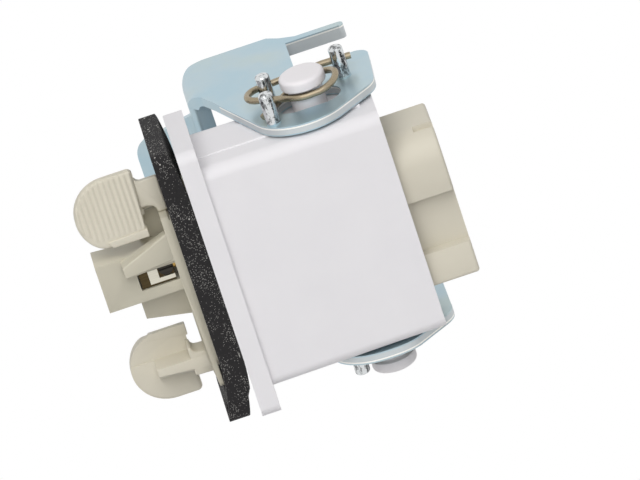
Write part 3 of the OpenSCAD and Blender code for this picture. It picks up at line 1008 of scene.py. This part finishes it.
@dataclass
class Latch:
    """A release latch: a ribbed thumb pad that leans back, a lip, a strut and an arm.

    All sizes are those of a latch above the middle, and the lower one is turned over. On the
    pad, u runs from its left end and w from its middle. The arm's outline is measured from the
    pad's right end.
    """

    side: str
    body: Body
    turn: int
    left_mm: float
    middle_mm: float
    slant_mm: float
    arm_depths_mm: Pair
    arm_lean: float
    arm_mm: tuple[Pair, ...]
    arm_overlap_mm: float = 0.4
    arm_edge_mm: float = 0.25
    length_mm: float = 9.1
    radius_mm: float = 5.3
    corner_mm: float = 0.8
    bottom_mm: float = -4.6
    crease_mm: float = -3.4
    front_mm: float = -4.75
    lean: float = 0.13
    brow_mm: float = 0.45
    under_mm: float = 0.25
    rib_mm: float = 0.15
    rib_pitch_mm: float = 0.79
    first_rib_mm: float = 0.55
    rib_fade_mm: Pair = (-0.2, 0.15)
    rib_foot_mm: Pair = (0.05, 0.4)
    margin_mm: float = 0.85
    margin_low_mm: Pair = (0.5, 2.5)
    margin_left_mm: Pair = (-0.5, 1.5)
    net: tuple[int, int] = (170, 44)
    net_start_mm: float = 0.004
    net_end_mm: float = 0.02
    lip_depths_mm: Pair = (-5.0, -2.68)
    lip_front_mm: tuple[Pair, ...] = ((3.4, -3.6), (4.0, -4.65), (9.4, -4.65), (9.4, -3.45))
    lip_back_mm: tuple[Pair, ...] = ((3.4, -4.3), (4.0, -5.32), (9.4, -5.32), (9.4, -3.45))
    lip_edge_mm: float = 0.15
    # The solid's own pad is cut off here, and the ribbed one reaches this far into it
    cut_mm: float = -3.45
    cut_right_mm: float = -2.9
    face_sink_mm: float = 0.15
    wall_sink_mm: float = 0.2
    # The strut's raised end comes down, and the pad's under side comes forward
    strut_mm: Triple = (3.8, 1.0, 15.15)
    strut_drop_mm: float = 2.0
    under_side_mm: Pair = (-1.8, -2.69)
    under_below_mm: float = 4.3
    near_mm: float = 0.05
    edge_mm: float = 0.22

    def place(self, x: float, y: float, z: float) -> Vector:
        """A point of the upper latch's drawing, turned over for the lower one."""
        return Vector((x, self.turn * y, self.turn * z))

    def top(self, u: float) -> float:
        """The height of the pad's upper outline.

        Args:
            u: the distance from its left end.

        Returns:
            The height above its middle.
        """
        corner = self.length_mm + self.slant_mm - self.corner_mm
        if u < self.radius_mm:
            return math.sqrt(max(self.radius_mm**2 - (u - self.radius_mm) ** 2, 0.0))
        if u < corner:
            return self.radius_mm
        bend = math.sqrt(max(self.corner_mm**2 - (u - corner) ** 2, 0.0))
        return self.radius_mm - self.corner_mm + bend

    def bottom(self, u: float) -> float:
        """The height of the pad's lower outline.

        Args:
            u: the distance from its left end.

        Returns:
            The height above its middle.
        """
        if u > self.length_mm:
            rise = self.radius_mm - self.corner_mm - self.bottom_mm
            return self.bottom_mm + (u - self.length_mm) / self.slant_mm * rise
        return max(-self.top(min(u, self.radius_mm)), self.bottom_mm)

    def inset(self, u: float, w: float) -> float:
        """The distance of a point of the pad from the outline above, left and right of it.

        Args:
            u: the point's distance from the left end.
            w: its height above the middle.

        Returns:
            The distance, below nought outside.
        """
        right = self.length_mm + self.slant_mm * (w + self.radius_mm) / (2 * self.radius_mm) - u
        if u < self.radius_mm:
            return self.radius_mm - math.hypot(u - self.radius_mm, w)
        return min(self.radius_mm - w, right)

    def depth(self, u: float, w: float) -> float:
        """Where the pad's face lies, with its lean, its rounded rim and its ribs.

        Args:
            u: the point's distance from the left end.
            w: its height above the middle.

        Returns:
            The point's y.
        """
        inset = max(self.inset(u, w), 0.0)
        face = self.front_mm + max(w - self.crease_mm, 0.0) * self.lean
        short = max(self.brow_mm - inset, 0.0)
        drop = self.brow_mm - math.sqrt(self.brow_mm**2 - short**2)
        margin = self.margin_mm * blend(-w, *self.margin_low_mm)
        margin *= blend(self.radius_mm - u, *self.margin_left_mm)
        none, full = self.rib_fade_mm
        ribbed = blend(inset, margin + none, margin + full)
        none, full = self.rib_foot_mm
        ribbed *= blend(w, self.crease_mm + none, self.crease_mm + full)
        wave = math.cos(2 * math.pi * (u - self.first_rib_mm) / self.rib_pitch_mm)
        under = self.under_mm * blend(w, self.bottom_mm + self.under_mm, self.bottom_mm)
        rib = self.rib_mm * ribbed * (0.5 + 0.5 * wave)
        return min(face + drop + under - rib, self.cut_mm + self.face_sink_mm)

    def build_pad(self) -> Piece:
        """Draws the pad's face as a fine net between its outlines, with a wall behind its rim.

        Returns:
            The pad.
        """
        columns, rows = self.net
        start = self.net_start_mm
        reach = self.length_mm + (self.slant_mm - self.net_end_mm)
        points = []
        for i in range(columns + 1):
            u = start + (reach - start) * i / columns
            low, high = self.bottom(u), self.top(u)
            for j in range(rows + 1):
                w = low + (high - low) * j / rows
                points.append(self.place(self.left_mm + u, self.depth(u, w), self.middle_mm + w))
        width = rows + 1
        faces = [
            (i * width + j, i * width + j + 1, (i + 1) * width + j + 1, (i + 1) * width + j)
            for i in range(columns)
            for j in range(rows)
        ]
        rim = [i * width for i in range(columns + 1)]
        rim += [columns * width + j for j in range(1, width)]
        rim += [i * width + rows for i in range(columns - 1, -1, -1)]
        rim += list(range(rows - 1, 0, -1))
        wall = len(points)
        wall_y = self.turn * (self.cut_mm + self.wall_sink_mm)
        points += [Vector((points[index].x, wall_y, points[index].z)) for index in rim]
        for k in range(len(rim)):
            after = (k + 1) % len(rim)
            faces.append((rim[k], rim[after], wall + after, wall + k))
        pad = mesh_piece(f"pad_{self.side}", points, faces)
        shade_smooth(50)
        return pad

    def build_lip(self) -> Piece:
        """Draws the straight lip along the pad's lower edge.

        Returns:
            The lip.
        """
        front, back = (
            [self.place(self.left_mm + u, depth, self.middle_mm + w) for u, w in outline]
            for outline, depth in zip((self.lip_front_mm, self.lip_back_mm), self.lip_depths_mm)
        )
        lip = block_piece(f"lip_{self.side}", front, back)
        round_edges(lip, self.lip_edge_mm, segments=3)
        return lip

    def build_arm(self) -> Piece:
        """Fills the arm out between the pad and the panel, with hollow corners at the pad.

        Returns:
            The arm.
        """
        start = self.left_mm + self.length_mm - self.arm_overlap_mm
        near, far = self.arm_depths_mm
        sink = self.arm_lean * (far - near)
        front = [self.place(start + along, near, z) for along, z in self.arm_mm]
        back = [self.place(start + along, far, z - sink) for along, z in self.arm_mm]
        arm = block_piece(f"arm_{self.side}", front, back)
        round_edges(arm, self.arm_edge_mm, segments=3, angle=50.0)
        return arm

    def cut_pad(self, piece: Piece) -> None:
        """Cuts the plain pad off a copy of the solid and closes the cut.

        Args:
            piece: the copy.
        """
        start_piece(piece)
        bpy.ops.object.mode_set(mode="EDIT")
        bpy.ops.mesh.select_mode(type="FACE")
        bpy.ops.object.mode_set(mode="OBJECT")
        across = [vertex.co.x for vertex in piece.data.vertices]
        for face in piece.data.polygons:
            face.select = all(across[i] < self.cut_right_mm * MM for i in face.vertices)
        bpy.ops.object.mode_set(mode="EDIT")
        bpy.ops.mesh.bisect(
            plane_co=self.place(0, self.cut_mm * MM, 0),
            plane_no=self.place(0, 1, 0),
            clear_inner=True,
            use_fill=True,
        )
        bpy.ops.mesh.select_mode(type="VERT")
        bpy.ops.mesh.select_all(action="DESELECT")
        bpy.ops.object.mode_set(mode="OBJECT")

    def build(self) -> None:
        """Cuts the solid's plain pad away and puts the ribbed one and the arm in its place."""
        node = f"release_latch_{self.side}"
        piece = merged_copy(node, f"thumb_latch_{self.side}")
        self.cut_pad(piece)
        strut_length, strut_back, strut_top = self.strut_mm
        back, forward = self.under_side_mm
        for vertex in piece.data.vertices:
            x, y, z = self.place(*(vertex.co / MM))
            if x < self.left_mm + strut_length and y > strut_back and z > strut_top:
                vertex.co.z -= self.turn * self.strut_drop_mm * MM
            low = z < self.middle_mm - self.under_below_mm
            if low and x < 0 and abs(y - back) < self.near_mm:
                vertex.co.y = self.turn * forward * MM
        round_edges(piece, self.edge_mm, segments=3)
        join_pieces(piece, self.build_pad(), self.build_lip(), self.build_arm())
        place_piece(piece, self.body, Finish.BEIGE, node)


@dataclass
class Insert:
    """The beige contact insert with its latches, contacts and earth terminal."""

    edge_mm: float = 0.2
    nose_edge_mm: float = 0.6
    nose_end_mm: float = 39.0
    nose_half_mm: Pair = (5.8, 11.3)
    nose_corner_mm: float = 4.5
    nose_rim_mm: float = 0.2
    near_mm: float = 0.05
    # Faces of the terminal carrier that lean or move, by where they lie and by how much
    plate_front_mm: float = -1.3
    plate_mm: Pair = (-1.4, -14.0)
    plate_taper_mm: float = 0.5
    block_front_mm: float = -4.5
    block_mm: Pair = (0.1, 7.4)
    block_drop_mm: float = 0.445
    shroud_mm: Pair = (-0.5, -12.3)
    shroud_back_mm: float = 1.8
    foot_mm: Pair = (0.2, -4.0)
    foot_shift_mm: Pair = (1.2, -0.53)
    gusset_front_mm: tuple[Triple, ...] = (
        (-8.7, -6.9, 5.3), (-8.7, -6.9, 7.0), (-1.3, -5.75, 9.5), (-1.3, -5.75, 5.4)
    )
    gusset_back_mm: tuple[Triple, ...] = (
        (-8.7, -3.9, 4.7), (-8.7, -3.9, 7.0), (-1.3, -3.9, 9.5), (-1.3, -3.9, 5.3)
    )

    def on_nose_end(self, place: Vector) -> bool:
        """Tells whether a vertex lies on the outer outline of the nose's end.

        Args:
            place: its place, in millimetres.

        Returns:
            True on the outline.
        """
        wide = max(abs(place.y) - self.nose_half_mm[0] + self.nose_corner_mm, 0.0)
        tall = max(abs(place.z) - self.nose_half_mm[1] + self.nose_corner_mm, 0.0)
        outline = math.hypot(wide, tall) > self.nose_corner_mm - self.nose_rim_mm
        return outline and place.x > self.nose_end_mm

    def eased(self, place: Vector) -> Vector:
        """Leans the terminal housing and the shroud back as they fall, and tapers the plate.

        Args:
            place: a vertex of the terminal carrier, in millimetres.

        Returns:
            Its new place.
        """
        x, y, z = place
        near = self.near_mm
        if abs(x - self.plate_mm[0]) < near and z < self.plate_mm[1]:
            x += self.plate_taper_mm
        outside = x < self.plate_front_mm
        low, high = self.block_mm
        on_block = abs(y - self.block_front_mm) < near and low - 2 * near < z < high + 2 * near
        if outside and on_block:
            y += (high - z) / (high - low)
            if z < low + 2 * near:
                z -= self.block_drop_mm
        if abs(y - self.shroud_mm[0]) < near and x < self.shroud_mm[1]:
            y += self.shroud_back_mm
        if outside and abs(y - self.foot_mm[0]) < near and z < self.foot_mm[1]:
            y += self.foot_shift_mm[0]
            z += self.foot_shift_mm[1]
        return Vector((x, y, z))

    def build_gusset(self) -> Piece:
        """Brings the gusset beside the window forward at its left end.

        Returns:
            The gusset.
        """
        front, back = (
            [Vector(corner) for corner in corners]
            for corners in (self.gusset_front_mm, self.gusset_back_mm)
        )
        gusset = block_piece("gusset", front, back)
        round_edges(gusset, self.edge_mm, segments=3)
        return gusset

    def build_latches(self) -> None:
        """Builds the two latches, each with the outline of its own arm."""
        Latch(
            side="upper",
            body=Body.UPPER_LATCH,
            turn=1,
            left_mm=-12.95,
            middle_mm=14.3,
            slant_mm=0.7,
            arm_depths_mm=(-3.5, 0.2),
            arm_lean=0.35,
            arm_mm=(
                (0.0, 13.5), (1.65, 13.5), (2.35, 13.3), (2.75, 12.9), (2.9, 12.1), (4.22, 12.1),
                (4.22, 17.5), (1.7, 17.5), (1.3, 17.7), (1.0, 18.2), (0.0, 18.2),
            ),
        ).build()
        Latch(
            side="lower",
            body=Body.LOWER_LATCH,
            turn=-1,
            left_mm=-12.45,
            middle_mm=13.5,
            slant_mm=0.0,
            arm_depths_mm=(1.06, -2.5),
            arm_lean=0.0,
            arm_mm=(
                (0.0, 10.4), (0.5, 10.4), (0.65, 11.0), (1.0, 11.35), (1.5, 11.45), (2.7, 11.5),
                (2.8, 15.0), (0.0, 14.9),
            ),
        ).build()

    def build(self) -> None:
        """Softens the insert's moulded edges and dresses what lies inside."""
        nose = merged_copy("socket_block", "socket_nose")
        round_chosen(nose, self.nose_edge_mm, segments=5, chosen=self.on_nose_end)
        round_edges(nose, self.edge_mm)
        place_piece(nose, Body.BASE, Finish.BEIGE, "socket_block")
        carrier = merged_copy("terminal_carrier", "terminal_body")
        for vertex in carrier.data.vertices:
            vertex.co = self.eased(vertex.co / MM) * MM
        round_edges(carrier, self.edge_mm)
        join_pieces(carrier, self.build_gusset())
        place_piece(carrier, Body.BASE, Finish.CARRIER, "terminal_carrier")
        self.build_latches()
        for finish, nodes in (
            (Finish.BRASS, ("line_contact_1", "line_contact_2", "line_contact_3", "earth_contact")),
            (Finish.CLAMP, ("earth_clamp",)),
            (Finish.SCREW, ("earth_screw",)),
            (Finish.TIN, ("pressure_plate",)),
            (Finish.STEEL, ("contact_sleeves", "contact_clips")),
            (Finish.SEAL, ("insert_seal",)),
        ):
            for node in nodes:
                dresser.dress_node(node, finish)


@dataclass(frozen=True)
class SoftBox:
    """A square soft box that points at the object, in metres and watts."""

    name: str
    place: Triple
    size: float
    power: float
    mirrored: bool

    def hang(self) -> None:
        """Hangs the box, in sight of polished metal only where it is mirrored."""
        lamp = bpy.data.lights.new(self.name, "AREA")
        lamp.size = self.size
        lamp.energy = self.power
        holder = bpy.data.objects.new(self.name, lamp)
        bpy.context.scene.collection.objects.link(holder)
        holder.location = self.place
        holder.visible_glossy = self.mirrored
        holder.rotation_mode = "QUATERNION"
        holder.rotation_quaternion = Vector(self.place).to_track_quat("Z", "Y")


@dataclass
class Studio:
    """The pale floor, the soft light and the camera at the picture's angle."""

    elevation: float = 24.0
    azimuth: float = 0.0
    roll: float = 18.45
    distance_mm: float = 1400.0
    focal_px: float = 9906.0
    target_mm: Triple = (12.0, 0.0, 0.0)
    target_px: Pair = (270.35, 247.0)
    frame_px: Pair = (640.0, 480.0)
    sensor_mm: float = 36.0
    clip_m: Pair = (0.01, 20.0)
    floor_m: float = 6.0
    floor_drop_mm: float = 45.0
    floor_colour: str = "#D8D8D8"
    card_place_mm: Pair = (190.0, -90.0)
    card_size_mm: Pair = (110.0, 160.0)
    card_lift_mm: float = 1.0
    card_colour: str = "#0E0E0E"
    matt: float = 0.9
    room_fill: float = 0.27
    boxes: tuple[SoftBox, ...] = (
        SoftBox("key box", (-0.12, -0.76, 0.86), 0.9, 7.8, mirrored=False),
        SoftBox("glint box", (-0.115, -0.73, 0.82), 0.86, 2.6, mirrored=True),
        SoftBox("front box", (-0.15, -1.1, 0.25), 0.6, 0.7, mirrored=True),
        SoftBox("back box", (0.1, 0.85, 0.8), 0.9, 2.2, mirrored=False),
    )

    def build(self) -> None:
        """Builds the studio."""
        self.build_floor()
        self.build_card()
        for box in self.boxes:
            box.hang()
        self.build_room()
        self.build_camera()

    def direct_view(self, tree: Tree) -> Socket:
        """A value of one for rays from the camera, a mirror or a clear piece.

        Args:
            tree: the node tree that gets the nodes.

        Returns:
            The socket with the value.
        """
        seen = add_node(tree, "LightPath").outputs
        total = seen["Is Camera Ray"]
        for ray in ("Is Glossy Ray", "Is Transmission Ray"):
            step = add_node(tree, "Math", {0: total, 1: seen[ray]}, operation="MAXIMUM")
            total = step.outputs[0]
        return total

    def build_floor(self) -> None:
        """Lays a wide pale floor well under the object."""
        bpy.ops.object.select_all(action="DESELECT")
        height = cad_box[0].z - self.floor_drop_mm * MM
        bpy.ops.mesh.primitive_plane_add(size=self.floor_m, location=(0, 0, height))
        floor = bpy.context.view_layer.objects.active
        floor.name = "floor"
        material, shader, _ = new_material("pale floor")
        tree = material.node_tree
        surface = {"Base Color": linear(self.floor_colour), "Roughness": self.matt}
        set_inputs(tree, shader, surface)
        glow = add_node(tree, "Emission", {"Color": WHITE_LIGHT, "Strength": 1.0})
        mix = add_node(
            tree,
            "MixShader",
            {0: self.direct_view(tree), 1: shader.outputs[0], 2: glow.outputs[0]},
        )
        set_inputs(tree, tree.nodes["Material Output"], {"Surface": mix.outputs[0]})
        floor.data.materials.append(material)

    def build_card(self) -> None:
        """Lays a dark card in front, which only polished metal mirrors."""
        bpy.ops.object.select_all(action="DESELECT")
        x, y = (v * MM for v in self.card_place_mm)
        width, depth = (v * MM for v in self.card_size_mm)
        height = cad_box[0].z - (self.floor_drop_mm - self.card_lift_mm) * MM
        bpy.ops.mesh.primitive_plane_add(size=1.0, location=(x, y, height))
        card = bpy.context.view_layer.objects.active
        card.name = "dark card"
        card.scale = (width, depth, 1.0)
        material, shader, _ = new_material("black card")
        surface = {"Base Color": linear(self.card_colour), "Roughness": self.matt}
        set_inputs(material.node_tree, shader, surface)
        card.data.materials.append(material)
        card.visible_camera = False
        card.visible_diffuse = False
        card.visible_transmission = False
        card.visible_shadow = False

    def build_room(self) -> None:
        """Fills the room with even light, white where it is seen."""
        world = bpy.data.worlds.new("even room")
        bpy.context.scene.world = world
        world.use_nodes = True
        tree = world.node_tree
        strength = add_node(
            tree, "MapRange", {0: self.direct_view(tree), 3: self.room_fill, 4: 1.0}
        )
        light = {"Color": WHITE_LIGHT, "Strength": strength.outputs[0]}
        set_inputs(tree, tree.nodes["Background"], light)
        bpy.context.scene.view_settings.view_transform = "Standard"

    def build_camera(self) -> None:
        """Sets the camera where the picture was taken from."""
        az, el, roll = (math.radians(a) for a in (self.azimuth, self.elevation, self.roll))
        back = Vector(
            (math.sin(az) * math.cos(el), -math.cos(az) * math.cos(el), math.sin(el))
        )
        across = Vector((math.cos(az), math.sin(az), 0.0))
        rise = back.cross(across)
        right = across * math.cos(roll) - rise * math.sin(roll)
        upright = across * math.sin(roll) + rise * math.cos(roll)
        target = Vector(self.target_mm) * MM
        place = target + back * self.distance_mm * MM
        px = self.distance_mm * MM / self.focal_px
        aim = (
            target
            + right * (self.frame_px[0] / 2 - self.target_px[0]) * px
            + upright * (self.target_px[1] - self.frame_px[1] / 2) * px
        )
        depth = (place - aim).normalized()
        side = upright.cross(depth).normalized()
        top = depth.cross(side)
        lens = bpy.data.cameras.new("studio camera")
        lens.sensor_width = self.sensor_mm
        lens.lens = self.focal_px / self.frame_px[0] * self.sensor_mm
        lens.clip_start, lens.clip_end = self.clip_m
        camera = bpy.data.objects.new("studio camera", lens)
        bpy.context.scene.collection.objects.link(camera)
        turn = Matrix((side, top, depth)).transposed().to_4x4()
        camera.matrix_world = Matrix.Translation(place) @ turn
        bpy.context.scene.camera = camera


def write_sizes() -> None:
    """Brings the placements of all objects up to date."""
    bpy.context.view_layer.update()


def main() -> None:
    """Builds the sub-assemblies in order, then the studio."""
    logging.basicConfig(level=logging.INFO, format="%(name)s: %(message)s")
    for assembly in (Housing(), Gasket(), Lever(), Insert(), Studio()):
        assembly.build()
        log.info("%s done", type(assembly).__name__)
    write_sizes()


if __name__ == "__main__":
    main()
